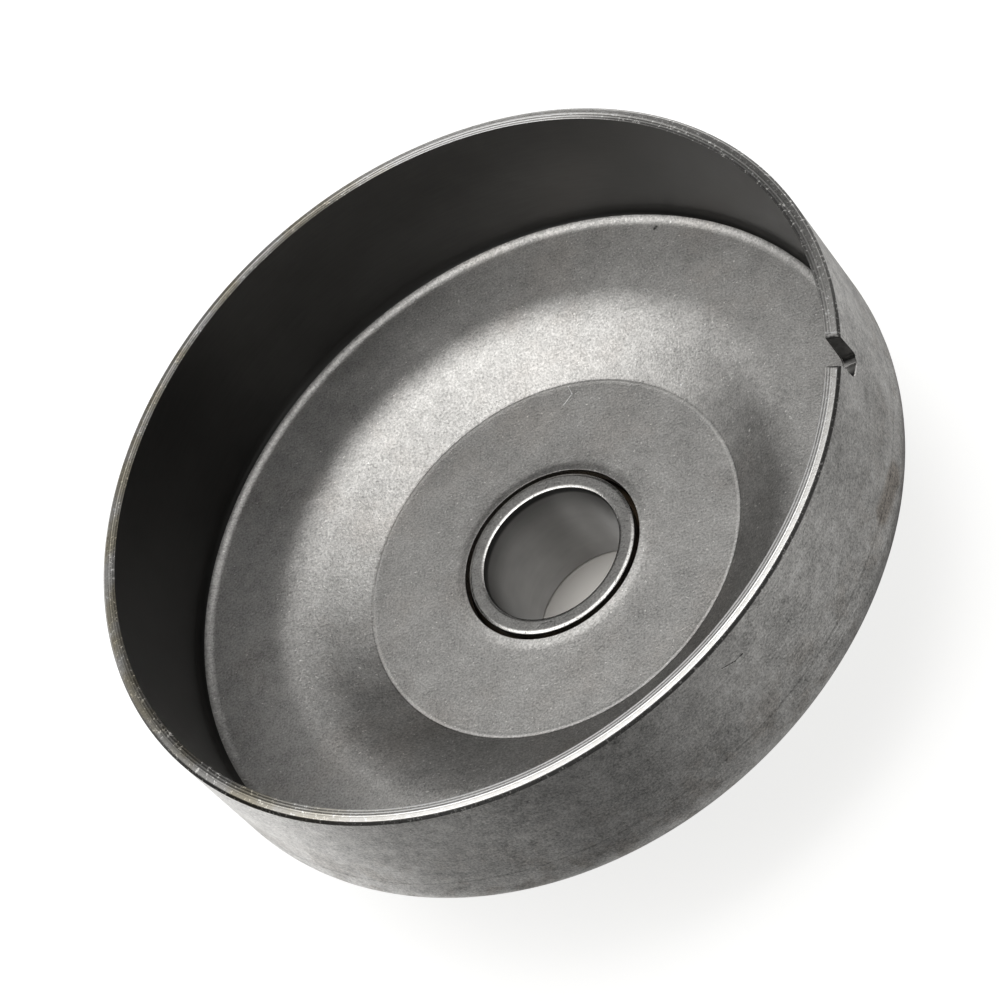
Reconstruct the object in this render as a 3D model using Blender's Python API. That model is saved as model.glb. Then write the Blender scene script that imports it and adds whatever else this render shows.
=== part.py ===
"""Clutch drum of a small chainsaw, built as the pieces that it is joined from.

The drum shell is a thin turned steel cup with one notch in its rim. A chain sprocket sits behind its
floor, and the sprocket's hollow hub reaches up through the floor's hole. A ring of braze in the hole's
back chamfer joins the two.

+Z is the drum's axis and points out of the mouth. Z = 0 is the sprocket's outer end face. +X points
at the notch in the rim.
"""

import math

import bmesh
import bpy
from mathutils import Matrix, Vector

MM = 0.001

# How far apart two touching pieces are kept.
GAP = 0.3 * MM

# The drum shell.
DRUM_RADIUS = 34.8 * MM
RIM_Z = 28.7 * MM
WALL = 1.3 * MM
RIM_CHAMFER = 0.26 * MM
FLOOR_THICKNESS = 2.3 * MM
DISC_Z = 10.8 * MM
DISC_RADIUS = 17.9 * MM
BAND_Z = 13.8 * MM
BAND_BACK_Z = 11.05 * MM
CONE_SLOPE = math.radians(28.0)
CREST_FILLET = 9.6 * MM
CREST_BACK_FILLET = 4.0 * MM
DISC_BACK_FILLET = 2.0 * MM
INNER_FILLET = 1.3 * MM
BACK_ROUND = 4.8 * MM
BACK_ROUND_TURN = math.radians(46.0)
BACK_ROUND_CENTRE_Z = 16.05 * MM
BACK_BEAD_FILLET = 1.6 * MM
HOLE_RADIUS = 8.48 * MM
HOLE_BACK_CHAMFER = 1.5 * MM

# The notch in the rim, on the +X side. Its -Y flank leans in, and its floor slopes down to the +Y corner.
NOTCH_MOUTH = (-1.25 * MM, 1.6 * MM)
NOTCH_FLOOR = (-0.8 * MM, 1.8 * MM)
NOTCH_DEPTHS = (3.1 * MM, 3.9 * MM)
NOTCH_CORNER = 0.8 * MM

# The sprocket, with its hub, bore and thrust boss.
BORE_RADIUS = 6.5 * MM
BORE_CHAMFER = 0.27 * MM
HUB_RADIUS = 7.9 * MM
HUB_CHAMFER = 0.25 * MM
HUB_TOP_Z = 11.2 * MM
BOSS_RADIUS = 9.6 * MM
BOSS_HEIGHT = 0.5 * MM
TOOTH_COUNT = 6
TIP_RADIUS = 15.4 * MM
VALLEY_RADIUS = 5.0 * MM
VALLEY_CENTRE = 16.2 * MM
TIP_ROUND = 0.7 * MM
TOOTH_CHAMFER = 0.5 * MM

# The ring of braze.
BRAZE_WIRE_RADIUS = 0.4 * MM

# How finely round shapes are divided, and the angle past which an edge is shaded sharp.
TURN_STEPS = 72
ARC_STEPS = 4
TIP_STEPS = 3
VALLEY_STEPS = 8
SHARP_ANGLE = math.radians(30.0)

FLOOR_BACK_Z = DISC_Z - FLOOR_THICKNESS
SHOULDER_Z = FLOOR_BACK_Z - GAP
INNER_RADIUS = DRUM_RADIUS - WALL


def clear_scene():
    for obj in list(bpy.data.objects):
        bpy.data.objects.remove(obj, do_unlink=True)


def material(name, colour, roughness, metallic=1.0):
    """A plain metal finish."""
    made = bpy.data.materials.new(name)
    made.use_nodes = True
    shader = made.node_tree.nodes["Principled BSDF"]
    shader.inputs["Base Color"].default_value = (*colour, 1.0)
    shader.inputs["Roughness"].default_value = roughness
    shader.inputs["Metallic"].default_value = metallic
    return made


def rounded(corners, steps=ARC_STEPS):
    """The points of a closed outline, from its corners (x, y, fillet radius)."""
    points = []
    for index, (x, y, radius) in enumerate(corners):
        here = Vector((x, y))
        if radius == 0:
            points.append(here)
            continue
        to_last = (Vector(corners[index - 1][:2]) - here).normalized()
        to_next = (Vector(corners[(index + 1) % len(corners)][:2]) - here).normalized()
        half = to_last.angle(to_next) / 2
        centre = here + (to_last + to_next).normalized() * (radius / math.sin(half))
        first = here + to_last * (radius / math.tan(half)) - centre
        turn = first.angle_signed(here + to_next * (radius / math.tan(half)) - centre)
        for step in range(steps + 1):
            points.append(centre + Matrix.Rotation(-turn * step / steps, 2) @ first)
    return points


def finish(name, bm, finish_material):
    """Makes the object from the bmesh, with round surfaces shaded smooth."""
    bmesh.ops.remove_doubles(bm, verts=bm.verts, dist=0.001 * MM)
    bmesh.ops.recalc_face_normals(bm, faces=bm.faces)
    mesh = bpy.data.meshes.new(name)
    bm.to_mesh(mesh)
    bm.free()
    mesh.shade_smooth()
    mesh.set_sharp_from_angle(angle=SHARP_ANGLE)
    made = bpy.data.objects.new(name, mesh)
    bpy.context.scene.collection.objects.link(made)
    if finish_material:
        made.data.materials.append(finish_material)
    return made


def turned(name, outline, finish_material=None, steps=TURN_STEPS):
    """A solid turned about Z from a closed outline of (radius, z) points."""
    bm = bmesh.new()
    loop = [bm.verts.new((point[0], 0, point[1])) for point in outline]
    edges = [bm.edges.new((loop[i - 1], loop[i])) for i in range(len(loop))]
    bmesh.ops.spin(
        bm,
        geom=loop + edges,
        cent=(0, 0, 0),
        axis=(0, 0, 1),
        angle=math.tau,
        steps=steps,
        use_merge=True,
    )
    return finish(name, bm, finish_material)


def prism(name, outline, low, high, chamfer=0.0, finish_material=None):
    """A closed outline of (x, y) points, extruded from z = low to z = high."""
    bm = bmesh.new()
    base = bm.faces.new([bm.verts.new((point[0], point[1], low)) for point in outline])
    grown = bmesh.ops.extrude_face_region(bm, geom=[base])["geom"]
    top = [item for item in grown if isinstance(item, bmesh.types.BMVert)]
    bmesh.ops.translate(bm, verts=top, vec=(0, 0, high - low))
    bmesh.ops.recalc_face_normals(bm, faces=bm.faces)
    if chamfer:
        rims = [edge for edge in bm.edges if abs(edge.verts[0].co.z - edge.verts[1].co.z) < chamfer]
        bmesh.ops.bevel(
            bm,
            geom=rims,
            offset=chamfer,
            affect="EDGES",
            segments=1,
            profile=0.5,
            material=-1,
        )
    return finish(name, bm, finish_material)


def apply_boolean(target, cutter, operation):
    """Cuts or joins one closed mesh with another, then removes the helper."""
    change = target.modifiers.new(operation.title(), "BOOLEAN")
    change.operation = operation
    change.solver = "EXACT"
    change.object = cutter
    bpy.context.view_layer.update()
    graph = bpy.context.evaluated_depsgraph_get()
    result = bpy.data.meshes.new_from_object(target.evaluated_get(graph))
    target.modifiers.clear()
    target.data = result
    target.data.set_sharp_from_angle(angle=SHARP_ANGLE)
    bpy.data.objects.remove(cutter, do_unlink=True)


def drum_shell():
    """The cup: a stepped floor, a rounded back corner, a thin wall and a notched rim."""
    slope = math.tan(CONE_SLOPE)
    crest_radius = DISC_RADIUS + (BAND_Z - DISC_Z) / slope
    # The cone's back is its front moved by the floor's thickness along its own normal.
    back_x = DISC_RADIUS + FLOOR_THICKNESS * math.sin(CONE_SLOPE)
    back_z = DISC_Z - FLOOR_THICKNESS * math.cos(CONE_SLOPE)
    disc_back_radius = back_x - (back_z - FLOOR_BACK_Z) / slope
    crest_back_radius = back_x + (BAND_BACK_Z - back_z) / slope
    # The back corner's first arc leaves the wall and turns until it runs down at its end slope.
    reach = BACK_ROUND * math.tan(BACK_ROUND_TURN / 2)
    corner_z = BACK_ROUND_CENTRE_Z - reach
    run = (corner_z - BAND_BACK_Z) * math.tan(BACK_ROUND_TURN)
    outline = rounded(
        [
            (HOLE_RADIUS, DISC_Z, 0),
            (DISC_RADIUS, DISC_Z, 0),
            (crest_radius, BAND_Z, CREST_FILLET),
            (INNER_RADIUS, BAND_Z, INNER_FILLET),
            (INNER_RADIUS, RIM_Z - RIM_CHAMFER, 0),
            (INNER_RADIUS + RIM_CHAMFER, RIM_Z, 0),
            (DRUM_RADIUS - RIM_CHAMFER, RIM_Z, 0),
            (DRUM_RADIUS, RIM_Z - RIM_CHAMFER, 0),
            (DRUM_RADIUS, corner_z, BACK_ROUND),
            (DRUM_RADIUS - run, BAND_BACK_Z, BACK_BEAD_FILLET),
            (crest_back_radius, BAND_BACK_Z, CREST_BACK_FILLET),
            (disc_back_radius, FLOOR_BACK_Z, DISC_BACK_FILLET),
            (HOLE_RADIUS + HOLE_BACK_CHAMFER, FLOOR_BACK_Z, 0),
            (HOLE_RADIUS, FLOOR_BACK_Z + HOLE_BACK_CHAMFER, 0),
        ]
    )
    steel = material("satin_turned_steel", (0.42, 0.41, 0.39), 0.42)
    shell = turned("drum_shell", outline, steel)
    over = 2 * RIM_CHAMFER
    slot = rounded(
        [
            (NOTCH_FLOOR[0], -NOTCH_DEPTHS[0], NOTCH_CORNER),
            (NOTCH_FLOOR[1], -NOTCH_DEPTHS[1], NOTCH_CORNER),
            (NOTCH_MOUTH[1], over, 0),
            (NOTCH_MOUTH[0], over, 0),
        ]
    )
    cutter = prism("notch_cutter", slot, INNER_RADIUS - WALL, DRUM_RADIUS + WALL)
    # The prism's length turns to lie along +X, and its outline's height to lie along +Z.
    upright = Matrix(((0, 0, 1, 0), (1, 0, 0, 0), (0, 1, 0, RIM_Z), (0, 0, 0, 1)))
    cutter.data.transform(upright)
    apply_boolean(shell, cutter, "DIFFERENCE")
    return shell


def tooth_outline():
    """The sprocket's outline: round-bottomed valleys for the chain's tangs, and flat-topped teeth."""
    valley = []
    pitch = math.tau / TOOTH_COUNT
    # Where the valley's circle meets the tip circle, seen from the valley's own centre.
    cosine = (TIP_RADIUS**2 - VALLEY_CENTRE**2 - VALLEY_RADIUS**2) / (2 * VALLEY_CENTRE * VALLEY_RADIUS)
    half_turn = math.pi - math.acos(cosine)
    for step in range(VALLEY_STEPS + 1):
        angle = math.pi - half_turn + 2 * half_turn * step / VALLEY_STEPS
        spoke = Vector((math.cos(angle), math.sin(angle)))
        valley.append(Vector((VALLEY_CENTRE, 0)) + VALLEY_RADIUS * spoke)
    valley.reverse()
    corners = []
    for tooth in range(TOOTH_COUNT):
        turn = Matrix.Rotation((tooth + 0.5) * pitch, 2)
        for index, point in enumerate(valley):
            at = turn @ point
            corners.append((at.x, at.y, TIP_ROUND if index in (0, VALLEY_STEPS) else 0))
    return rounded(corners, TIP_STEPS)


def spur_sprocket():
    """The toothed ring, its thrust boss and the hollow hub that reaches through the shell's floor."""
    steel = material("sintered_steel", (0.36, 0.355, 0.34), 0.5)
    teeth = prism(
        "spur_sprocket",
        tooth_outline(),
        BOSS_HEIGHT,
        SHOULDER_Z,
        TOOTH_CHAMFER,
        steel,
    )
    hub_outline = [
        (BORE_RADIUS + BORE_CHAMFER, 0),
        (BOSS_RADIUS, 0),
        (BOSS_RADIUS, BOSS_HEIGHT + TOOTH_CHAMFER),
        (HUB_RADIUS, BOSS_HEIGHT + TOOTH_CHAMFER),
        (HUB_RADIUS, HUB_TOP_Z - HUB_CHAMFER),
        (HUB_RADIUS - HUB_CHAMFER, HUB_TOP_Z),
        (BORE_RADIUS + BORE_CHAMFER, HUB_TOP_Z),
        (BORE_RADIUS, HUB_TOP_Z - BORE_CHAMFER),
        (BORE_RADIUS, BORE_CHAMFER),
    ]
    # The bore is cut through the toothed ring before the hub, which lines it, is joined on.
    inside_hub = (BORE_RADIUS + HUB_RADIUS) / 2
    clearance = [
        (0, -MM),
        (inside_hub, -MM),
        (inside_hub, HUB_TOP_Z),
        (0, HUB_TOP_Z),
    ]
    apply_boolean(teeth, turned("bore_cutter", clearance), "DIFFERENCE")
    apply_boolean(teeth, turned("hub_blank", hub_outline), "UNION")
    return teeth


def braze_ring():
    """The ring of filler metal in the back chamfer of the shell's hole."""
    copper = material("braze_metal", (0.55, 0.36, 0.22), 0.45)
    centre_radius = HUB_RADIUS + GAP + BRAZE_WIRE_RADIUS
    centre_z = SHOULDER_Z + GAP + BRAZE_WIRE_RADIUS
    outline = []
    for step in range(3 * ARC_STEPS):
        angle = math.tau * step / (3 * ARC_STEPS)
        outline.append(
            (
                centre_radius + BRAZE_WIRE_RADIUS * math.cos(angle),
                centre_z + BRAZE_WIRE_RADIUS * math.sin(angle),
            )
        )
    return turned("braze_ring", outline, copper)


clear_scene()
drum_shell()
spur_sprocket()
braze_ring()
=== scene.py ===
# %% [markdown]
# # A chainsaw clutch drum
#
# A clutch drum is a thin steel cup. It starts as a pressed blank, and a lathe then cleans its inside
# wall, its rim and its outside. A chain sprocket with a hollow hub is brazed into its floor. This
# lesson models both by spinning their half sections, as the lathe would, and then gives each surface
# the finish that its own operation leaves.

# %% Load the frame
import math

import bmesh
import bpy
from mathutils import Matrix, Quaternion, Vector


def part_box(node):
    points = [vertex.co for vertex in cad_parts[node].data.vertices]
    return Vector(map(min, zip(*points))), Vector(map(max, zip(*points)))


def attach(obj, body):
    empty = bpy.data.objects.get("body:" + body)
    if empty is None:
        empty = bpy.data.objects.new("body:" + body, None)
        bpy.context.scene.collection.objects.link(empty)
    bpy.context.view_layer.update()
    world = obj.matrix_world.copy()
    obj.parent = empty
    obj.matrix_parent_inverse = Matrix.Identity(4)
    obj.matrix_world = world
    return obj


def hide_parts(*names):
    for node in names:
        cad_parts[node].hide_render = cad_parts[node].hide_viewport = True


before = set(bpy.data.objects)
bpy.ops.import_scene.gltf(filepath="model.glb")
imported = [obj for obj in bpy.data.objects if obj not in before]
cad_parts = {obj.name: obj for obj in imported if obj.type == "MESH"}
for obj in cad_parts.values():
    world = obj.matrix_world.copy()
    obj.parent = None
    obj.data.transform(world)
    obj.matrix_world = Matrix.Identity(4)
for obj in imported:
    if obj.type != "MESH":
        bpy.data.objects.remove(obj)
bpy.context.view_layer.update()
MM = 0.001
print("CAD nodes:", sorted(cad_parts))

# %% [markdown]
# ## Driving dimensions
#
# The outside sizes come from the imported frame, so the visible pieces always fit the solids that
# they stand for. The smaller features, such as fillets and lips, are the turner's own numbers.

# %% Sizes read from the frame
shell_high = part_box("drum_shell")[1]
sprocket_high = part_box("spur_sprocket")[1]

DRUM_RADIUS = shell_high.y
RIM_Z = shell_high.z
HUB_TOP_Z = sprocket_high.z
WALL = 1.3 * MM
INNER_RADIUS = DRUM_RADIUS - WALL
FLOOR_THICKNESS = 2.3 * MM
DISC_Z = 10.8 * MM
DISC_RADIUS = 17.9 * MM
BAND_Z = 13.8 * MM
print(f"drum {2000 * DRUM_RADIUS:.1f} mm across, rim at {1000 * RIM_Z:.1f} mm")

# %% [markdown]
# ## Outlines with round corners
#
# A turned part is easiest to describe by the corners of its half section, each with the radius that
# the tool leaves there. One function turns such corners into points. Each arc is worked out from
# the two edges that it joins, so a corner can be moved without redrawing its fillet.


# %% Rounding a list of corners
def rounded(corners, steps=8):
    """The points of a closed outline, from its corners (x, y, fillet radius)."""
    points = []
    for index, (x, y, radius) in enumerate(corners):
        here = Vector((x, y))
        if radius == 0:
            points.append(here)
            continue
        to_last = (Vector(corners[index - 1][:2]) - here).normalized()
        to_next = (Vector(corners[(index + 1) % len(corners)][:2]) - here).normalized()
        half = to_last.angle(to_next) / 2
        centre = here + (to_last + to_next).normalized() * (radius / math.sin(half))
        first = here + to_last * (radius / math.tan(half)) - centre
        turn = first.angle_signed(here + to_next * (radius / math.tan(half)) - centre)
        for step in range(steps + 1):
            points.append(centre + Matrix.Rotation(-turn * step / steps, 2) @ first)
    return points


def outline_loop(bm, points, place):
    """A closed loop of edges through an outline's points, put in space by a function."""
    loop = [bm.verts.new(place(point)) for point in points]
    return loop, [bm.edges.new((loop[i - 1], loop[i])) for i in range(len(loop))]


# %% [markdown]
# ## From an outline to a piece
#
# Spinning the closed outline once round the drum's axis makes the whole solid. The spin merges its
# last copy with its first, so no seam is left. Faces are shaded smooth, but every edge that turns
# more than a set angle stays sharp, because a lathe leaves crisp corners between its cuts.

# %% Making objects
SHARP_ANGLE = math.radians(35.0)
MERGE_DISTANCE = 0.0005 * MM


def finish(name, bm):
    """Turns a bmesh into a smooth shaded object that keeps its crisp edges."""
    bmesh.ops.remove_doubles(bm, verts=bm.verts, dist=MERGE_DISTANCE)
    bmesh.ops.recalc_face_normals(bm, faces=bm.faces)
    mesh = bpy.data.meshes.new(name)
    bm.to_mesh(mesh)
    bm.free()
    mesh.shade_smooth()
    mesh.set_sharp_from_angle(angle=SHARP_ANGLE)
    made = bpy.data.objects.new(name, mesh)
    bpy.context.scene.collection.objects.link(made)
    print(f"{name}: {len(mesh.vertices)} vertices")
    return made


def turned(name, outline, steps):
    """A closed half section of (radius, z) points, spun once round the drum's axis."""
    bm = bmesh.new()
    loop, edges = outline_loop(bm, outline, lambda point: (point[0], 0, point[1]))
    bmesh.ops.spin(
        bm,
        geom=loop + edges,
        cent=(0, 0, 0),
        axis=(0, 0, 1),
        angle=math.tau,
        steps=steps,
        use_merge=True,
    )
    return finish(name, bm)


# %% [markdown]
# ## Cutting and joining
#
# A milled notch, or a hub that grows out of a toothed ring, is made by a Boolean of two closed
# solids. The result is read back as plain mesh data, and the tool is removed, so each piece of the
# drum ends up as one simple object.


# %% A Boolean with a tool
def cut_or_join(target, tool, operation):
    """Cuts or joins one closed piece with another, then removes the tool."""
    change = target.modifiers.new(operation.title(), "BOOLEAN")
    change.operation = operation
    change.solver = "EXACT"
    change.object = tool
    bpy.context.view_layer.update()
    graph = bpy.context.evaluated_depsgraph_get()
    target.data = bpy.data.meshes.new_from_object(target.evaluated_get(graph))
    target.modifiers.clear()
    target.data.shade_smooth()
    target.data.set_sharp_from_angle(angle=SHARP_ANGLE)
    bpy.data.objects.remove(tool, do_unlink=True)
    print(f"{target.name} after {operation.lower()}: {len(target.data.polygons)} faces")


# %% [markdown]
# ## The drum shell
#
# The shell is one pressing: a flat disc round the hub, a cone that rises from it, a flat band, and
# a thin wall. Its back follows its front at about the thickness of the sheet. First come the
# dimensions, and the few corners that follow from them.

# %% The drum shell's dimensions
CONE_SLOPE = math.radians(28.0)
CREST_FILLET = 9.6 * MM
INNER_FILLET = 1.3 * MM
BAND_BACK_Z = 11.05 * MM
BACK_ROUND = 4.8 * MM
BACK_ROUND_TURN = math.radians(46.0)
BACK_ROUND_CENTRE_Z = 16.05 * MM
HOLE_RADIUS = 8.48 * MM
HOLE_BACK_CHAMFER = 1.5 * MM
HOLE_LIP = 0.22 * MM
DISC_RIDGE = 0.014 * MM
RIM_INNER_FALL = 0.04 * MM
RIM_OUTER_FALL = 0.07 * MM
RIM_CHAMFER = 0.26 * MM
FLOOR_BACK_Z = DISC_Z - FLOOR_THICKNESS
SHELL_STEPS = 320

slope = math.tan(CONE_SLOPE)
crest_radius = DISC_RADIUS + (BAND_Z - DISC_Z) / slope
cone_back_radius = DISC_RADIUS + FLOOR_THICKNESS * math.sin(CONE_SLOPE)
cone_back_z = DISC_Z - FLOOR_THICKNESS * math.cos(CONE_SLOPE)
disc_back_radius = cone_back_radius - (cone_back_z - FLOOR_BACK_Z) / slope
crest_back_radius = cone_back_radius + (BAND_BACK_Z - cone_back_z) / slope
corner_z = BACK_ROUND_CENTRE_Z - BACK_ROUND * math.tan(BACK_ROUND_TURN / 2)
corner_run = (corner_z - BAND_BACK_Z) * math.tan(BACK_ROUND_TURN)
print(f"the cone runs from {1000 * DISC_RADIUS:.1f} to {1000 * crest_radius:.1f} mm out")

# %% [markdown]
# Spinning the half section gives the whole shell, with small details in it that catch the light:
# a lip round the hub's hole, a low ridge just inside the disc's edge, a rim that falls slightly to
# both sides, and a chamfer on its outer edge.

# %% Spinning the drum shell
shell_outline = rounded(
    [
        # The lip round the hole, and the soft rise to it.
        (HOLE_RADIUS, DISC_Z + HOLE_LIP, 0.03 * MM),
        (HOLE_RADIUS + 0.8 * MM, DISC_Z + HOLE_LIP / 5, 3.5 * MM),
        (HOLE_RADIUS + 2.2 * MM, DISC_Z, 15.0 * MM),
        # The low ridge at the disc's edge, then the cone, the band and the inner corner.
        (DISC_RADIUS - 0.5 * MM, DISC_Z, 0.4 * MM),
        (DISC_RADIUS - 0.22 * MM, DISC_Z + DISC_RIDGE, 0.2 * MM),
        (DISC_RADIUS, DISC_Z, 0.1 * MM),
        (crest_radius, BAND_Z, CREST_FILLET),
        (INNER_RADIUS, BAND_Z, INNER_FILLET),
        # The rim, with its fall to the inner edge and its outer chamfer.
        (INNER_RADIUS, RIM_Z - RIM_INNER_FALL, 0.02 * MM),
        (INNER_RADIUS + 0.6 * MM, RIM_Z, 0.3 * MM),
        (DRUM_RADIUS - RIM_CHAMFER, RIM_Z - RIM_OUTER_FALL, 0.08 * MM),
        (DRUM_RADIUS, RIM_Z - RIM_OUTER_FALL - RIM_CHAMFER, 0.08 * MM),
        # The round back corner, and the back of the floor.
        (DRUM_RADIUS, corner_z, BACK_ROUND),
        (DRUM_RADIUS - corner_run, BAND_BACK_Z, 1.6 * MM),
        (crest_back_radius, BAND_BACK_Z, 4.0 * MM),
        (disc_back_radius, FLOOR_BACK_Z, 2.0 * MM),
        (HOLE_RADIUS + HOLE_BACK_CHAMFER, FLOOR_BACK_Z, 0),
        (HOLE_RADIUS, FLOOR_BACK_Z + HOLE_BACK_CHAMFER, 0),
    ]
)
shell = turned("drum_shell_turned", shell_outline, SHELL_STEPS)

# %% [markdown]
# ## The notch
#
# The oil pump's drive spring hooks into one notch in the rim. It is cut with a round-nosed tool
# that leans a little, and its edges are broken by hand. The tool's outline is drawn in the plane
# of the wall: one side is upright, the bottom slants, and the other side has a round lip. It stands
# above the rim, so that the cut is open.

# %% The notch's outline
NOTCH_DEPTHS = (3.1 * MM, 3.95 * MM)
NOTCH_TOP = 1.0 * MM

notch_outline = rounded(
    [
        # The slanted bottom, from its round corner to its tight one.
        (-0.78 * MM, -NOTCH_DEPTHS[0], 0.9 * MM),
        (1.95 * MM, -NOTCH_DEPTHS[1], 0.62 * MM),
        # The upright side, which opens at the rim.
        (1.6 * MM, -0.1 * MM, 0.1 * MM),
        (1.9 * MM, 0.2 * MM, 0),
        (1.9 * MM, NOTCH_TOP, 0),
        # The other side, with its round lip at the rim.
        (-2.0 * MM, NOTCH_TOP, 0),
        (-2.0 * MM, 0.32 * MM, 0),
        (-1.17 * MM, -0.48 * MM, 0.5 * MM),
    ]
)
print(f"the notch is {1000 * max(NOTCH_DEPTHS):.2f} mm deep")

# %% [markdown]
# The tool is that outline, extruded through the wall in short steps. It grows a little at both
# faces of the wall, so cutting with it also makes the broken edges, and it leans on its way through.

# %% Cutting the notch
NOTCH_LEAN = math.radians(-6.0)
NOTCH_GROWTH = 1.07
NOTCH_BREAK = 0.1 * MM
NOTCH_CLEARANCE = 0.02 * MM

bm = bmesh.new()
notch_loop, _ = outline_loop(
    bm,
    notch_outline,
    lambda point: (DRUM_RADIUS + MM, point[0], RIM_Z + point[1]),
)
last = bm.faces.new(notch_loop)
notch_pivot = Matrix.Translation((0, 0.4 * MM, RIM_Z - 2 * MM))
# Each step inwards: how far, and how much the outline grows or leans on the way.
for inward, growth, lean in (
    (MM - NOTCH_CLEARANCE, 1, 0),
    (NOTCH_BREAK, 1 / NOTCH_GROWTH, 0),
    (WALL - 2 * NOTCH_BREAK, 1, NOTCH_LEAN),
    (NOTCH_BREAK, NOTCH_GROWTH, 0),
    (MM, 1, 0),
):
    grown = bmesh.ops.extrude_face_region(bm, geom=[last])["geom"]
    verts = [item for item in grown if isinstance(item, bmesh.types.BMVert)]
    bm.faces.remove(last)
    last = [item for item in grown if isinstance(item, bmesh.types.BMFace)][0]
    scale = Matrix.Diagonal((1, growth, growth, 1))
    change = notch_pivot @ Matrix.Rotation(lean, 4, "X") @ scale @ notch_pivot.inverted()
    bmesh.ops.transform(bm, matrix=Matrix.Translation((-inward, 0, 0)) @ change, verts=verts)
bm.faces.new(notch_loop)
notch_tool = finish("notch_tool", bm)
cut_or_join(shell, notch_tool, "DIFFERENCE")
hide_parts("drum_shell")
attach(shell, "root")

# %% [markdown]
# ## The sprocket
#
# The sprocket and its hub are one sintered piece. The toothed ring is an outline with six round
# valleys, which the chain's drive links drop into. Where a valley's arc meets the ring's outer
# radius there is a tip, which gets a small round. The cosine rule gives the angle at which they meet.

# %% The teeth's outline
TOOTH_COUNT = 6
TIP_RADIUS = 15.4 * MM
VALLEY_RADIUS = 5.0 * MM
VALLEY_CENTRE = 16.2 * MM
VALLEY_STEPS = 24
TIP_ROUND = 0.7 * MM

valley_cosine = (TIP_RADIUS**2 - VALLEY_CENTRE**2 - VALLEY_RADIUS**2) / (
    2 * VALLEY_CENTRE * VALLEY_RADIUS
)
half_turn = math.pi - math.acos(valley_cosine)
tooth_corners = []
for tooth in range(TOOTH_COUNT):
    turn = Matrix.Rotation((tooth + 0.5) * math.tau / TOOTH_COUNT, 2)
    for step in range(VALLEY_STEPS + 1):
        angle = math.pi + half_turn - 2 * half_turn * step / VALLEY_STEPS
        at = turn @ Vector(
            (VALLEY_CENTRE + VALLEY_RADIUS * math.cos(angle), VALLEY_RADIUS * math.sin(angle))
        )
        tooth_corners.append((at.x, at.y, TIP_ROUND if step in (0, VALLEY_STEPS) else 0))
print(f"each valley turns through {math.degrees(2 * half_turn):.0f} degrees")

# %% [markdown]
# The outline is filled, extruded until it is just under the shell's back, and bevelled along both
# of its rims, as the die's chamfers would leave it.

# %% The toothed ring
TOOTH_CHAMFER = 0.5 * MM
BOSS_HEIGHT = 0.5 * MM
SHOULDER_Z = FLOOR_BACK_Z - 0.3 * MM
LEVEL_LIMIT = 0.1 * MM

bm = bmesh.new()
tooth_loop, _ = outline_loop(
    bm,
    rounded(tooth_corners),
    lambda point: (point[0], point[1], BOSS_HEIGHT),
)
base = bm.faces.new(tooth_loop)
grown = bmesh.ops.extrude_face_region(bm, geom=[base])["geom"]
top = [item for item in grown if isinstance(item, bmesh.types.BMVert)]
bmesh.ops.translate(bm, verts=top, vec=(0, 0, SHOULDER_Z - BOSS_HEIGHT))
bmesh.ops.recalc_face_normals(bm, faces=bm.faces)
rims = [edge for edge in bm.edges if abs(edge.verts[0].co.z - edge.verts[1].co.z) < LEVEL_LIMIT]
bmesh.ops.bevel(
    bm,
    geom=rims,
    offset=TOOTH_CHAMFER,
    affect="EDGES",
    segments=3,
    profile=0.5,
    material=-1,
)
sprocket = finish("spur_sprocket_machined", bm)

# %% [markdown]
# ## The hub
#
# The hub is the hollow spigot that passes through the shell, and the boss under the teeth. It is
# turned from its own half section. Its end flares slightly, and both edges of its face are broken.
# The toothed ring is bored first, half way into the hub's wall, so that the union has no faces that
# lie on each other.

# %% Turning and joining the hub
BORE_RADIUS = 6.5 * MM
BORE_CHAMFER = 0.12 * MM
HUB_RADIUS = 7.9 * MM
HUB_FLARE = 0.11 * MM
BOSS_RADIUS = 9.6 * MM
HUB_STEPS = 160
CORNER_STEPS = 5

hub_outline = rounded(
    [
        # The boss, from the bore's chamfer out to its side, and up to the teeth.
        (BORE_RADIUS, BORE_CHAMFER, 0.05 * MM),
        (BORE_RADIUS + BORE_CHAMFER, 0, 0.05 * MM),
        (BOSS_RADIUS, 0, 0.1 * MM),
        (BOSS_RADIUS, BOSS_HEIGHT + TOOTH_CHAMFER, 0),
        (HUB_RADIUS, BOSS_HEIGHT + TOOTH_CHAMFER, 0),
        # The spigot, and its flared end.
        (HUB_RADIUS, HUB_TOP_Z - 0.75 * MM, 0),
        (HUB_RADIUS + HUB_FLARE, HUB_TOP_Z - 0.5 * MM, 0.1 * MM),
        (HUB_RADIUS + HUB_FLARE, HUB_TOP_Z - 0.14 * MM, 0.04 * MM),
        # The end face, and the lead-in for the needle cage.
        (HUB_RADIUS - 0.16 * MM, HUB_TOP_Z, 0.3 * MM),
        (BORE_RADIUS + 0.33 * MM, HUB_TOP_Z, 0.25 * MM),
        (BORE_RADIUS + 0.1 * MM, HUB_TOP_Z - 0.09 * MM, 0.03 * MM),
        (BORE_RADIUS, HUB_TOP_Z - 0.33 * MM, 0.04 * MM),
    ],
    CORNER_STEPS,
)
tool_radius = (BORE_RADIUS + HUB_RADIUS) / 2
tool_outline = [(0, -MM), (tool_radius, -MM), (tool_radius, HUB_TOP_Z), (0, HUB_TOP_Z)]
cut_or_join(sprocket, turned("bore_tool", tool_outline, HUB_STEPS), "DIFFERENCE")
cut_or_join(sprocket, turned("hub_blank", hub_outline, HUB_STEPS), "UNION")
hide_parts("spur_sprocket")
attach(sprocket, "root")

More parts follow.
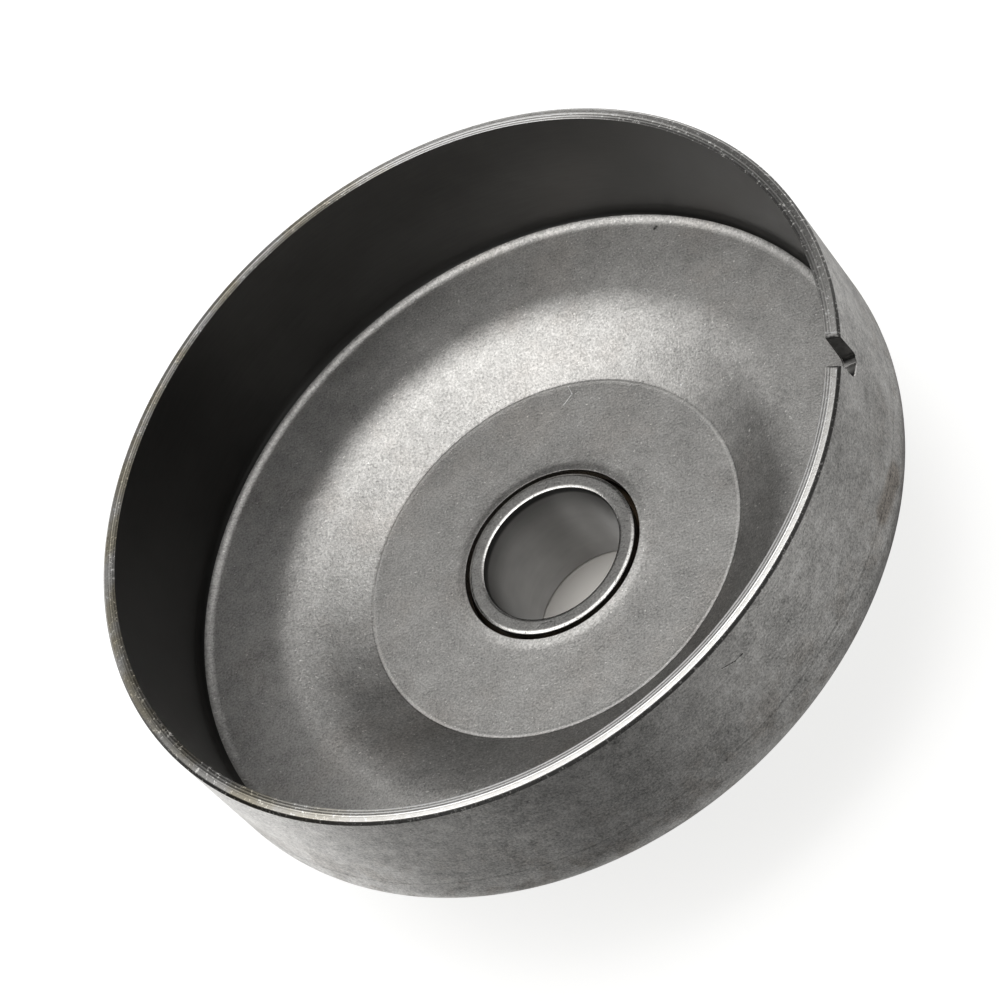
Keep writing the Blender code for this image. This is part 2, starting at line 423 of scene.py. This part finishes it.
# %% [markdown]
# ## The braze
#
# Brass joins the two parts. It was melted into the chamfer at the back of the shell's hole, on top
# of the sprocket's shoulder, and froze with a round edge. It is a small turned ring with the
# section of a fillet, a hair's breadth clear of the sprocket.

# %% Turning the braze
BRAZE_CLEARANCE = 0.01 * MM
braze_radius = HUB_RADIUS + BRAZE_CLEARANCE
braze_low_z = SHOULDER_Z + BRAZE_CLEARANCE

braze_outline = rounded(
    [
        (braze_radius, braze_low_z, 0),
        (HUB_RADIUS + 1.75 * MM, braze_low_z, 0.05 * MM),
        (HUB_RADIUS + 1.5 * MM, SHOULDER_Z + 0.45 * MM, 0.3 * MM),
        (HOLE_RADIUS - 0.05 * MM, SHOULDER_Z + 1.45 * MM, 0.2 * MM),
        (braze_radius, SHOULDER_Z + 1.6 * MM, 0),
    ]
)
braze = turned("braze_fillet", braze_outline, HUB_STEPS)
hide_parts("braze_ring")
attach(braze, "root")

# %% [markdown]
# ## Shader maths as expressions
#
# A finish is a small calculation on position. One class wraps a socket so that `+`, `-` and `*`
# add Math nodes, and another builds a material. Colours are mixed with Mix and Vector Math nodes
# only, because a Math node would turn them grey.


# %% A socket that can be calculated with
class Signal:
    """One output socket in a node tree."""

    def __init__(self, graph, socket):
        self.graph = graph
        self.socket = socket

    def math(self, operation, *others):
        """A Math node on this signal and any others."""
        inputs = {index: value for index, value in enumerate((self, *others))}
        return self.graph.node("ShaderNodeMath", {"operation": operation}, inputs)

    def __add__(self, other):
        return self.math("ADD", other)

    def __sub__(self, other):
        return self.math("SUBTRACT", other)

    def __rsub__(self, other):
        return (self * -1) + other

    def __mul__(self, other):
        return self.math("MULTIPLY", other)

    __radd__ = __add__
    __rmul__ = __mul__

    def between(self, low, high):
        """0 below low, 1 above high, and a soft step between. It falls if low is the larger."""
        settings = {"interpolation_type": "SMOOTHSTEP"}
        limits = {"Value": self, "From Min": low, "From Max": high}
        return self.graph.node("ShaderNodeMapRange", settings, limits)

    def near(self, centre, reach):
        """1 at a value, falling softly to 0 within the reach on both sides."""
        return (self - centre).math("ABSOLUTE").between(reach, 0)


# %% [markdown]
# A tree of nodes needs only one way to add a node: its type, its settings, and the values or links
# of its sockets. The world uses it too, further down.


# %% A node tree that makes signals
class Graph:
    """A node tree, and the one method that adds nodes to it."""

    def __init__(self, tree):
        self.tree = tree

    def node(self, kind, settings, sockets, output=0):
        """Any node: its settings first, then the values or links of its sockets."""
        made = self.tree.nodes.new(kind)
        for name, value in settings.items():
            setattr(made, name, value)
        for name, value in sockets.items():
            if isinstance(value, Signal):
                self.tree.links.new(value.socket, made.inputs[name])
            else:
                made.inputs[name].default_value = value
        return made if output is None else Signal(self, made.outputs[output])

    def link(self, signal, node, name):
        """Feeds a node's socket with a signal."""
        self.tree.links.new(signal.socket, node.inputs[name])


# %% [markdown]
# A finish is a material with the drum's own coordinates: X, Y and Z, and the radius and the angle
# round its axis. Most marks on a turned part are a function of one of them. A scratch is drawn as
# straight strokes between points in space, so it stays where it is from every side.


# %% A finish
class Finish(Graph):
    """One finish, of metal unless it is told otherwise, with the coordinates that its patterns use."""

    def __init__(self, name):
        self.material = bpy.data.materials.new(name)
        self.material.use_nodes = True
        super().__init__(self.material.node_tree)
        self.shader = self.tree.nodes["Principled BSDF"]
        self.shader.inputs["Metallic"].default_value = 1.0
        self.place = self.node("ShaderNodeTexCoord", {}, {}, "Object")
        axes = self.node("ShaderNodeSeparateXYZ", {}, {"Vector": self.place}, None)
        self.x, self.y, self.z = (Signal(self, axes.outputs[axis]) for axis in "XYZ")
        self.radius = (self.x * self.x + self.y * self.y).math("SQRT")
        self.angle = self.y.math("ARCTAN2", self.x)

    def noise(self, size, detail=3.0, roughness=0.55, at=None):
        """Smooth noise of about 0 to 1 whose grains are one size across, in metres."""
        sockets = {"Vector": at or self.place, "Scale": 1 / size, "Detail": detail}
        sockets["Roughness"] = roughness
        return self.node("ShaderNodeTexNoise", {}, sockets)

    def unrolled(self, radius):
        """The place on a round wall, unrolled flat. A small radius makes marks long."""
        sockets = {"X": self.angle * radius, "Y": self.z, "Z": 0}
        return self.node("ShaderNodeCombineXYZ", {}, sockets)

    def towards(self, way):
        """How far a place lies towards a horizontal direction, in metres."""
        return self.x * way.x + self.y * way.y

    def stroke(self, start, end, half_width):
        """1 along a straight scratch between two points in space, in metres."""
        start, end = Vector(start), Vector(end)
        along = end - start
        step = self.vector_math("SUBTRACT", {0: self.place, 1: start})
        reach = self.vector_math("DOT_PRODUCT", {0: step, 1: along / along.length_squared}, "Value")
        share = reach.math("MINIMUM", 1.0).math("MAXIMUM", 0.0)
        foot = self.vector_math("SCALE", {0: along, "Scale": share})
        gap = self.vector_math("DISTANCE", {0: step, 1: foot}, "Value")
        return gap.between(half_width, half_width * 0.3)

    def vector_math(self, operation, sockets, output=0):
        """A Vector Math node."""
        return self.node("ShaderNodeVectorMath", {"operation": operation}, sockets, output)

    def mix(self, factor, first, second):
        """One colour over another."""
        settings = {"data_type": "RGBA", "clamp_factor": True}
        return self.node("ShaderNodeMix", settings, {0: factor, 6: first, 7: second}, 2)

    def shade(self, colour, factor):
        """A colour made lighter or darker by a factor that varies over the surface."""
        if not isinstance(colour, Signal):
            colour = colour[:3]
        return self.vector_math("SCALE", {0: colour, "Scale": factor})

    def use(self, colour, roughness, height, depth, strength=1.0):
        """Feeds the shader with a colour, a roughness and a height, whose depth is in metres."""
        sockets = {"Height": height, "Distance": depth, "Strength": strength}
        bump = self.node("ShaderNodeBump", {}, sockets)
        self.link(colour, self.shader, "Base Color")
        self.link(roughness, self.shader, "Roughness")
        self.link(bump, self.shader, "Normal")
        print(f"{self.material.name}: {len(self.tree.nodes)} nodes")
        return self.material


# %% [markdown]
# ## The pressed floor
#
# The floor keeps the skin of the pressing: satin, with a fine even grain, soft clouds, warmer
# stains, and a few bright grains. A dark line of painted shade runs in the corner round the disc,
# and a line of painted highlight lies just inside it, on the low ridge. One side of the outer band
# is darker, a bent scuff crosses the disc near its edge, and the band has one dark pit.

# %% Pressed floor
GREY = (0.5, 0.492, 0.478, 1)
WARM = (0.5, 0.475, 0.45, 1)
SCUFF_START = (0.5 * MM, 15.6 * MM, DISC_Z)
SCUFF_BEND = (1.3 * MM, 16.6 * MM, DISC_Z)
SCUFF_END = (0.9 * MM, 17.5 * MM, DISC_Z)
SCUFF_HALF_WIDTH = 0.09 * MM
PIT_START = (10.6 * MM, 30.1 * MM, BAND_Z)
PIT_END = (10.7 * MM, 30.2 * MM, BAND_Z)

pressed = Finish("pressed_floor_steel")
grain = pressed.noise(0.2 * MM, 4.0, 0.75) - 0.5
mottle = pressed.noise(0.9 * MM, 3.0, 0.6) - 0.5
cloud = pressed.noise(3.0 * MM, 4.0, 0.6) - 0.5
stain = pressed.noise(9.0 * MM, 4.0, 0.6).between(0.48, 0.7)
sparkle = pressed.noise(0.3 * MM, 1.0).between(0.68, 0.78)
# A line of painted shade in the corner round the disc, and a painted highlight on the low ridge.
corner_shade_line = pressed.radius.near(DISC_RADIUS + 0.04 * MM, 0.12 * MM)
ridge_highlight_line = pressed.radius.near(DISC_RADIUS - 0.2 * MM, 0.2 * MM)
scuff = pressed.stroke(SCUFF_START, SCUFF_BEND, SCUFF_HALF_WIDTH)
scuff = scuff + pressed.stroke(SCUFF_BEND, SCUFF_END, SCUFF_HALF_WIDTH)
pit = pressed.stroke(PIT_START, PIT_END, 0.26 * MM)
# The outer band is darker towards one side.
darker_band_side = pressed.radius.between(24.5 * MM, 27 * MM) * pressed.x.between(-8 * MM, -22 * MM)
tone = 1.05 + grain * 2.4 + mottle * 0.5 + cloud * 0.6 + sparkle * 0.8 + scuff * 1.3
tone = (tone + ridge_highlight_line * 0.35 - corner_shade_line * 0.25 - pit * 0.9) * (1 - darker_band_side * 0.28)
pressed_colour = pressed.shade(pressed.mix(stain * 0.6, GREY, WARM), tone)
pressed_roughness = 0.36 + cloud * 0.12 - grain * 0.1
pressed_height = grain + sparkle * 0.4 - scuff
pressed_steel = pressed.use(pressed_colour, pressed_roughness, pressed_height, 0.035 * MM)

# %% [markdown]
# ## The ground inner wall
#
# The clutch shoes rub on the inner wall, so it is bored and then ground. Its colour is painted far
# darker than the floor's, as shade inside the cup, and its tool marks run round it. Two stretches
# carry more painted shade.

# %% Ground wall
ground = Finish("ground_wall_steel")
marks = ground.noise(0.25 * MM, 2.0, 0.6, ground.unrolled(DRUM_RADIUS / 12))
cloud = ground.noise(6.0 * MM, 3.0)
# Painted shade: the wall's colour is kept dark, and darker still on two stretches.
shade_right = ground.x.between(0, 14 * MM)
shade_left = ground.x.between(-24 * MM, -31 * MM)
tone = (0.22 + marks * 0.06 + cloud * 0.06) * (1 - shade_right * 0.5) * (1 - shade_left * 0.55)
ground_colour = ground.shade(GREY, tone)
ground_steel = ground.use(ground_colour, 0.3 + marks * 0.08, marks, 0.004 * MM, 0.5)

# %% [markdown]
# ## The turned rim
#
# The last cut of the lathe leaves fine rings on the rim. One side, and a short stretch at +Y, carry
# a painted highlight. Elsewhere it is painted darker as shade, most at the inner edge, and the two
# flanks beside the highlighted side carry the most painted shade. Old oil gives it an olive brown
# tint in places. The chamfer carries painted shade, there are bright nicks, and a painted highlight
# lies on the burr beside the notch.

# %% Turned rim
OLIVE = (0.4, 0.37, 0.3, 1)
RING_PITCH = 0.25 * MM
BRIGHT_RIM_SIDE = Vector((0.59, -0.81))

turned_rim = Finish("turned_rim_steel")
wander = turned_rim.noise(0.8 * MM, 3.0) - 0.5
dents = turned_rim.noise(0.3 * MM, 2.0, 0.7)
nicks = dents.between(0.58, 0.68)
oil = turned_rim.noise(4.0 * MM, 3.0).between(0.35, 0.6) * turned_rim.x.between(0, -20 * MM)
ripple = (turned_rim.radius * (math.tau / RING_PITCH)).math("SINE")
rings = ripple * turned_rim.radius.between(DRUM_RADIUS - 0.5 * MM, DRUM_RADIUS - 0.7 * MM)
# Painted shade on the chamfer.
chamfer = turned_rim.radius.between(DRUM_RADIUS - 0.24 * MM, DRUM_RADIUS - 0.18 * MM)
# A painted highlight on one side and at +Y, painted shade elsewhere, most of all on two flanks.
side = turned_rim.towards(BRIGHT_RIM_SIDE)
rim_highlight = side.between(6 * MM, 24 * MM) + turned_rim.y.between(30 * MM, 33.5 * MM)
rim_shade = 1 - rim_highlight.math("MINIMUM", 1.0)
rim_shade = rim_shade * turned_rim.radius.between(DRUM_RADIUS - 0.3 * MM, INNER_RADIUS)
flank_shade = side.near(3 * MM, 30 * MM)
# A painted highlight along the burr beside the notch.
burr_highlight = turned_rim.y.near(1.98 * MM, 0.16 * MM) * turned_rim.x.between(0, 10 * MM)
tone = 2.0 + rings * 0.6 + wander * 0.5
tone = tone * (1 - rim_shade * 0.74) * (1 - flank_shade * 0.6) * (1 - chamfer * 0.75)
tone = tone + burr_highlight * 1.2 + nicks * 1.2
rim_colour = turned_rim.shade(turned_rim.mix(oil, GREY, OLIVE), tone)
rim_height = rings + dents * 2.0
rim_steel = turned_rim.use(rim_colour, 0.24 + dents * 0.1, rim_height, 0.007 * MM)

# %% [markdown]
# ## The outside
#
# The outside is turned and then tumbled. Faint rings run round it under a grain, a mottle and soft
# clouds. It has the marks of use: worn brownish patches towards the back, a thin dark line where
# the turning tool stopped, one bent scratch, and an old oil spot.

# %% Outside
STAIN = (0.47, 0.43, 0.39, 1)
STEP_LINE_Z = 17.6 * MM
SCRATCH_START = (23.6 * MM, -25.6 * MM, 26.2 * MM)
SCRATCH_BEND = (24.4 * MM, -24.8 * MM, 25.6 * MM)
SCRATCH_END = (25.0 * MM, -24.2 * MM, 25.5 * MM)
SCRATCH_HALF_WIDTH = 0.1 * MM
SPOT_START = (34.5 * MM, -4.5 * MM, 16.8 * MM)
SPOT_END = (33.7 * MM, -8.6 * MM, 17.6 * MM)

outside = Finish("tumbled_outside_steel")
marks = outside.noise(0.3 * MM, 3.0, 0.6, outside.unrolled(DRUM_RADIUS / 6)) - 0.5
grain = outside.noise(0.2 * MM, 4.0, 0.75) - 0.5
mottle = outside.noise(1.1 * MM, 4.0, 0.65) - 0.5
cloud = outside.noise(5.0 * MM, 4.0, 0.6) - 0.5
worn = outside.noise(3.0 * MM, 5.0, 0.65).between(0.47, 0.62) * outside.z.between(25 * MM, 15 * MM)
step_line = outside.z.near(STEP_LINE_Z, 0.2 * MM)
scratch = outside.stroke(SCRATCH_START, SCRATCH_BEND, SCRATCH_HALF_WIDTH)
scratch = scratch + outside.stroke(SCRATCH_BEND, SCRATCH_END, SCRATCH_HALF_WIDTH)
spot = outside.stroke(SPOT_START, SPOT_END, 1.5 * MM)
tone = 1.4 + marks * 0.6 + grain * 3.6 + mottle * 1.5 + cloud * 1.3
tone = tone - worn * 0.25 - step_line * 0.35 - scratch - spot * 0.45
outside_colour = outside.shade(outside.mix(worn * 0.4 + spot, GREY, STAIN), tone)
outside_roughness = 0.32 + cloud * 0.1 + worn * 0.08
outside_steel = outside.use(outside_colour, outside_roughness, grain + marks - scratch, 0.03 * MM)

# %% [markdown]
# ## The notch's faces
#
# The notch is milled. Its walls are painted near black, as shade inside the narrow cut. Only the
# middle of its bottom is lighter, and its edges at the rim carry a painted highlight.

# %% Notch with painted shade
notch_cut = Finish("shaded_notch_steel")
smear = notch_cut.noise(0.4 * MM, 3.0, 0.6) - 0.5
height = notch_cut.z + smear * 0.3 * MM
bottom = height.between(RIM_Z - 2.4 * MM, RIM_Z - 3.0 * MM)
# Painted shade: the walls are near black. The rim edges get a painted highlight.
lighter_notch_bottom = notch_cut.y.near(0.55 * MM, 0.9 * MM) * bottom
notch_edge_highlight = height.between(RIM_Z - 0.25 * MM, RIM_Z - 0.1 * MM)
tone = 0.1 + lighter_notch_bottom * 1.8 + notch_edge_highlight * 0.8 + smear * 0.1
notch_colour = notch_cut.shade(GREY, tone)
notch_steel = notch_cut.use(notch_colour, 0.4 + smear * 0.1, smear, 0.03 * MM)

# %% [markdown]
# ## The sprocket's body
#
# The sprocket is sintered, so it is full of tiny dark pores between brighter grains. The end of the
# hub is ground flat after brazing, and the washer that runs on it polishes both of its edges, which
# are less rough and carry a painted highlight.

# %% Sintered steel
sintered = Finish("sintered_hub_steel")
pores = sintered.noise(0.3 * MM, 2.0, 0.6).between(0.6, 0.72)
grain = sintered.noise(0.2 * MM, 3.0, 0.7) - 0.5
cloud = sintered.noise(1.6 * MM, 3.0) - 0.5
shine = sintered.noise(0.35 * MM, 1.0).between(0.68, 0.78)
# A painted highlight along both edges of the hub's end.
edges = sintered.radius.near(BORE_RADIUS + 0.16 * MM, 0.17 * MM) * 0.8
edges = edges + sintered.radius.near(HUB_RADIUS - 0.02 * MM, 0.17 * MM)
edges = edges * sintered.z.between(HUB_TOP_Z - 0.2 * MM, HUB_TOP_Z - 0.1 * MM)
tone = 0.72 + grain * 1.4 + cloud * 0.6 - pores * 0.2 + shine * 0.5 + edges * 0.9
sintered_colour = sintered.shade(GREY, tone)
sintered_height = grain - pores + shine * 0.5
sintered_roughness = 0.34 + cloud * 0.1 - edges * 0.12
sintered_steel = sintered.use(sintered_colour, sintered_roughness, sintered_height, 0.014 * MM)

# %% [markdown]
# ## The bore
#
# The bore is finished for the needles, with faint marks round it. It is less of a mirror than the
# other surfaces. Its upper half is painted darker as shade, most of all at the lead-in, and it is
# painted darker everywhere but on the side away from the rim's highlighted side.

# %% Ground bore
bore = Finish("ground_bore_steel")
marks = bore.noise(0.5 * MM, 3.0, 0.6, bore.unrolled(BORE_RADIUS / 8)) - 0.5
cloud = bore.noise(3.0 * MM, 2.0) - 0.5
# Painted shade at the top of the bore, and on all but one side of it.
lead_in = bore.z.between(HUB_TOP_Z - 0.9 * MM, HUB_TOP_Z - 0.5 * MM)
upper_half = bore.z.between(HUB_TOP_Z - 4.0 * MM, HUB_TOP_Z - 0.4 * MM)
bore_top_shade = lead_in * 0.5 + upper_half * 0.42
bore_lit_side = bore.towards(BRIGHT_RIM_SIDE).between(-1.5 * MM, -5.0 * MM)
tone = (1.02 + marks * 0.2 + cloud * 0.4) * (1 - bore_top_shade) * (0.45 + bore_lit_side * 0.55)
bore.shader.inputs["Metallic"].default_value = 0.45
bore_steel = bore.use(bore.shade(GREY, tone), 0.42 + marks * 0.1, marks, 0.006 * MM)

# %% [markdown]
# ## The braze's finish
#
# The braze is brass that wet the joint and froze with a soft skin. Burnt flux has left it a dark
# brown, in two shades, and both are painted darker still, as shade in the narrow gap round the hub.

# %% Brass braze
# Both colours are partly real burnt flux and partly painted shade in the gap.
SHADED_BURNT_BRASS = (0.07, 0.05, 0.032, 1)
SHADED_BLACK_FLUX = (0.03, 0.026, 0.022, 1)

brass = Finish("brazed_brass")
skin = brass.noise(0.4 * MM, 4.0, 0.6)
flux = brass.noise(2.0 * MM, 3.0).between(0.35, 0.7)
brass_colour = brass.mix(flux, SHADED_BURNT_BRASS, SHADED_BLACK_FLUX)
brass_metal = brass.use(brass_colour, 0.45 + skin * 0.14, skin, 0.02 * MM)

# %% [markdown]
# ## Giving each surface its finish
#
# Each operation's surface is found by where its faces are and how they face, so one piece can carry
# several finishes, and their borders run exactly along the edges that the tools left.

# %% Which finish a face gets
NOTCH_HALF_WIDTH = 2.3 * MM
NOTCH_REACH = 4.2 * MM
NOTCH_LIP = 0.4 * MM
RIM_REACH = 0.36 * MM
FILLET_SHARE = 0.3
FACING = 0.8
FACES_DOWN = -0.1


def shell_surface(centre, normal):
    """0 floor, 1 inner wall, 2 rim, 3 outside, 4 notch."""
    radius, z = centre.xy.length, centre.z
    outwards = abs(normal.xy.normalized().dot(centre.xy.normalized()))
    beside_notch = centre.x > 0 and abs(centre.y) < NOTCH_HALF_WIDTH and z > RIM_Z - NOTCH_REACH
    if beside_notch and outwards < FACING and radius > INNER_RADIUS:
        if normal.z < FACING or z < RIM_Z - NOTCH_LIP:
            return 4
    if z > RIM_Z - RIM_REACH:
        return 2
    if radius > INNER_RADIUS + 0.01 * MM:
        return 3
    if z > BAND_Z + INNER_FILLET * FILLET_SHARE and radius > INNER_RADIUS - INNER_FILLET:
        return 1
    below_disc = normal.z < 0 and z < DISC_Z - 0.1 * MM
    return 3 if below_disc or normal.z < FACES_DOWN else 0


def sprocket_surface(centre, normal):
    """0 sintered body, 1 bore."""
    radius, z = centre.xy.length, centre.z
    if z < BORE_CHAMFER:
        return 1 if radius < BORE_RADIUS + BORE_CHAMFER else 0
    return 1 if radius < BORE_RADIUS + 0.12 * MM and z < HUB_TOP_Z - 0.05 * MM else 0


# %% [markdown]
# The same function serves all three pieces: it puts the materials in the piece's slots, asks where
# each face belongs, and counts the faces of each. The plain CAD solids, which these pieces stand
# for, get one of the finishes as well.


# %% Finishes by place
def give_finishes(piece, finishes, choose):
    """Puts a list of materials on a piece, and picks one for each face from its place."""
    piece.data.materials.clear()
    for material in finishes:
        piece.data.materials.append(material)
    counts = [0] * len(finishes)
    for face in piece.data.polygons:
        face.material_index = choose(face.center, face.normal)
        counts[face.material_index] += 1
    print(piece.name, {m.name: n for m, n in zip(finishes, counts)})


shell_finishes = [pressed_steel, ground_steel, rim_steel, outside_steel, notch_steel]
give_finishes(shell, shell_finishes, shell_surface)
give_finishes(sprocket, [sintered_steel, bore_steel], sprocket_surface)
give_finishes(braze, [brass_metal], lambda centre, normal: 0)
plain_finishes = {"drum_shell": outside_steel, "spur_sprocket": sintered_steel, "braze_ring": brass_metal}
for name, material in plain_finishes.items():
    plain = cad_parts[name].data
    plain.materials.clear()
    plain.materials.append(material)

# %% [markdown]
# ## The camera
#
# The camera looks down into the cup from a little over a third of a metre, through a long lens, and
# is rolled to one side. Its direction is given by two angles, as on a globe.


# %% Camera
def heading(azimuth, elevation):
    """A unit vector in a direction given by two angles, in radians."""
    level = math.cos(elevation)
    return Vector((level * math.cos(azimuth), level * math.sin(azimuth), math.sin(elevation)))


AIM = Vector((-3.05, 3.85, 15.1)) * MM
AZIMUTH = math.radians(-53.47)
ELEVATION = math.radians(47.08)
ROLL = math.radians(42.5)
DISTANCE = 347.67 * MM

toward = heading(AZIMUTH, ELEVATION)
camera_data = bpy.data.cameras.new("camera")
camera_data.lens = 143.86
camera_data.sensor_width = 36.0
camera_data.clip_start = 0.01
camera = bpy.data.objects.new("camera", camera_data)
camera.location = AIM + toward * DISTANCE
camera.rotation_mode = "QUATERNION"
camera.rotation_quaternion = (-toward).to_track_quat("-Z", "Y") @ Quaternion((0, 0, 1), -ROLL)
bpy.context.scene.collection.objects.link(camera)
bpy.context.scene.camera = camera
print("camera at", [round(value, 3) for value in camera.location])

# %% [markdown]
# ## The studio floor
#
# The drum stands on a pale floor that glows a little, so that it stays nearly white with only a
# faint shadow. Under the bore the glow is off and the paint is a warm grey: a painted shadow, the
# soft grey of a floor that the drum shades. It is one-sided: seen from below it is clear, so the
# drum's underside can be looked at. Reflections leave it out, so the soft boxes alone shape the metal's
# tones.

# %% Floor
FLOOR_HALF_SIZE = 3.0
FLOOR_DROP = 0.1 * MM
PALE_PAINT = (0.27, 0.27, 0.27, 1)
PALE_GLOW = (1.0, 1.0, 0.99, 1)
SHADOW_PAINT = (0.6, 0.58, 0.55, 1)
NO_GLOW = (0, 0, 0, 1)

bm = bmesh.new()
bmesh.ops.create_grid(bm, x_segments=1, y_segments=1, size=FLOOR_HALF_SIZE)
bmesh.ops.translate(bm, verts=bm.verts, vec=(0, 0, -FLOOR_DROP))
mesh = bpy.data.meshes.new("floor")
bm.to_mesh(mesh)
bm.free()
floor = bpy.data.objects.new("floor", mesh)
bpy.context.scene.collection.objects.link(floor)

pale = Finish("pale_floor")
# A painted shadow: under the bore the floor doesn't glow, and is a warmer grey.
shadow_under_bore = pale.radius.between(9.5 * MM, 9.0 * MM)
pale.shader.inputs["Metallic"].default_value = 0.0
pale.shader.inputs["Roughness"].default_value = 1.0
pale.shader.inputs["Emission Strength"].default_value = 0.8
pale.link(pale.mix(shadow_under_bore, PALE_PAINT, SHADOW_PAINT), pale.shader, "Base Color")
pale.link(pale.mix(shadow_under_bore, PALE_GLOW, NO_GLOW), pale.shader, "Emission Color")
from_below = pale.node("ShaderNodeNewGeometry", {}, {}, "Backfacing")
clear = pale.node("ShaderNodeBsdfTransparent", {}, {})
painted = Signal(pale, pale.shader.outputs["BSDF"])
one_sided = pale.node("ShaderNodeMixShader", {}, {0: from_below, 1: painted, 2: clear})
pale.link(one_sided, pale.tree.nodes["Material Output"], "Surface")
floor.data.materials.append(pale.material)
floor.visible_glossy = False
print(f"floor: {2 * FLOOR_HALF_SIZE:.0f} m square")

# %% [markdown]
# ## The floor's lamp
#
# One large lamp hangs over the drum and behind it. It lights the floor, and gives the faint shadow.
# Reflections leave it out too.

# %% Lamp
LAMP_PLACE = Vector((-0.3, 0.4, 1.6))

lamp = bpy.data.lights.new("floor_lamp", "AREA")
lamp.size = 1.6
lamp.energy = 26.0
lamp_holder = bpy.data.objects.new("floor_lamp", lamp)
lamp_holder.location = LAMP_PLACE
lamp_holder.rotation_mode = "QUATERNION"
lamp_holder.rotation_quaternion = (-LAMP_PLACE).to_track_quat("-Z", "Y")
lamp_holder.visible_glossy = False
bpy.context.scene.collection.objects.link(lamp_holder)
print(f"lamp: {lamp.energy:.0f} W, {lamp.size:.1f} m square")

# %% [markdown]
# ## The soft boxes
#
# Bare metal shows what stands round it, so its tones are made by the studio and not by lamps. Each
# soft box is a round glow in one direction of the world, which fades towards its edge. Dark gaps
# between the boxes are as useful as the boxes: they give the cone and the walls their dark sides.
# The camera itself sees an even pale backdrop.

# %% Soft boxes
# Azimuth, elevation and half width in degrees, then brightness. The sides are the camera's.
SOFTBOXES = [
    (164.0, -32.0, 42.0, 0.95),  # large and low, behind and to the left
    (77.0, -12.0, 46.0, 0.88),  # large and low, behind and to the right
    (-11.0, -14.0, 48.0, 0.54),  # large and low, in front and to the right
    (-107.0, 73.0, 29.0, 0.81),  # overhead, in front and to the left
    (-178.0, 69.0, 50.0, 0.67),  # overhead, wide, behind and to the left
    (-157.0, 54.0, 29.0, 1.12),  # high, at the left
    (36.0, 78.0, 21.0, 1.90),  # overhead, small and bright
    (-50.0, -47.0, 18.0, 0.12),  # dim, from below in front
    (44.0, -47.0, 20.0, 0.26),  # dim, from below at the right
    (-124.0, -47.0, 11.0, 0.6),  # small, from below at the left
    (47.0, 54.0, 22.0, 0.78),  # high, at the right
    (106.0, 6.0, 24.0, 0.85),  # level, behind
    (-53.0, -88.0, 30.0, 0.25),  # straight below
]
ROOM_LIGHT = 0.08
BACKDROP = 0.9
BACKDROP_COLOUR = (1.0, 0.995, 0.985, 1)

world = bpy.data.worlds.new("studio")
bpy.context.scene.world = world
world.use_nodes = True
studio = Graph(world.node_tree)
direction = studio.node("ShaderNodeTexCoord", {}, {}, "Generated")
brightness = ROOM_LIGHT
for azimuth, elevation, half_width, strength in SOFTBOXES:
    aim = heading(math.radians(azimuth), math.radians(elevation))
    facing = studio.node(
        "ShaderNodeVectorMath", {"operation": "DOT_PRODUCT"}, {0: direction, 1: aim}, "Value"
    )
    fade = {
        "Value": facing,
        "From Min": math.cos(math.radians(half_width)),
        "From Max": math.cos(math.radians(half_width / 4)),
        "To Max": strength,
    }
    glow = studio.node("ShaderNodeMapRange", {"interpolation_type": "SMOOTHERSTEP"}, fade)
    brightness = glow + brightness
seen = studio.node("ShaderNodeLightPath", {}, {}, "Is Camera Ray")
shown = seen * BACKDROP + (1 - seen) * brightness
background = world.node_tree.nodes["Background"]
background.inputs["Color"].default_value = BACKDROP_COLOUR
studio.link(shown, background, "Strength")
bpy.context.scene.view_settings.view_transform = "Standard"
print(f"studio: {len(SOFTBOXES)} soft boxes")
